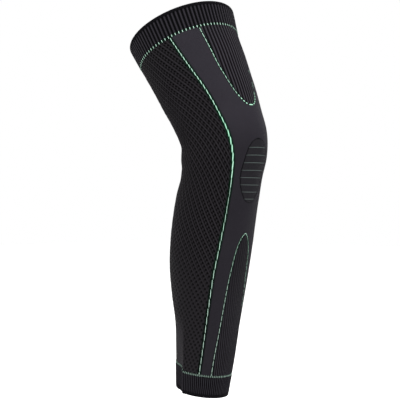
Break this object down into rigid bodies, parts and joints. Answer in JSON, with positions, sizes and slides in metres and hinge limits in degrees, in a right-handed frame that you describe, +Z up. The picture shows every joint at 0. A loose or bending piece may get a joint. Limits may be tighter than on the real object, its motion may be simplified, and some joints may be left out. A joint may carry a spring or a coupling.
{
  "type": "knee compression sleeve",
  "caption": "Full-length knitted compression sleeve for one leg in its worn shape, with ribbed cuffs, honeycomb back, plain front, striped knee patch and accent lines.",
  "frame": {"origin": "On the leg's centre line inside the sleeve, level with the middle of the knee", "axes": "+Z up the leg, kneecap toward -Y, wearer's right side toward -X"},
  "size_m": [0.1604, 0.2261, 0.5695],
  "materials": {
    "rim_knit": "matte knitted edge",
    "cuff_knit": "matte ribbed knit",
    "rib_knit": "matte ribbed knit",
    "plain_knit": "matte plain knit",
    "honeycomb_knit": "matte open honeycomb knit",
    "patch_knit": "matte knit with raised stripes",
    "accent_yarn": "soft bright yarn"
  },
  "bodies": {
    "root": {"thigh_rim": "rim_knit", "thigh_cuff": "cuff_knit", "thigh_cuff_line": "accent_yarn", "thigh_rib_panel": "rib_knit", "thigh_panel_line": "accent_yarn", "front_panel": "plain_knit", "knee_patch": "patch_knit", "shin_rib_panel": "rib_knit", "shin_panel_line": "accent_yarn", "side_line_right": "accent_yarn", "side_line_left": "accent_yarn", "honeycomb_panel": "honeycomb_knit", "ankle_cuff_line": "accent_yarn", "ankle_cuff": "cuff_knit", "ankle_rim": "rim_knit"}
  },
  "joints": []
}
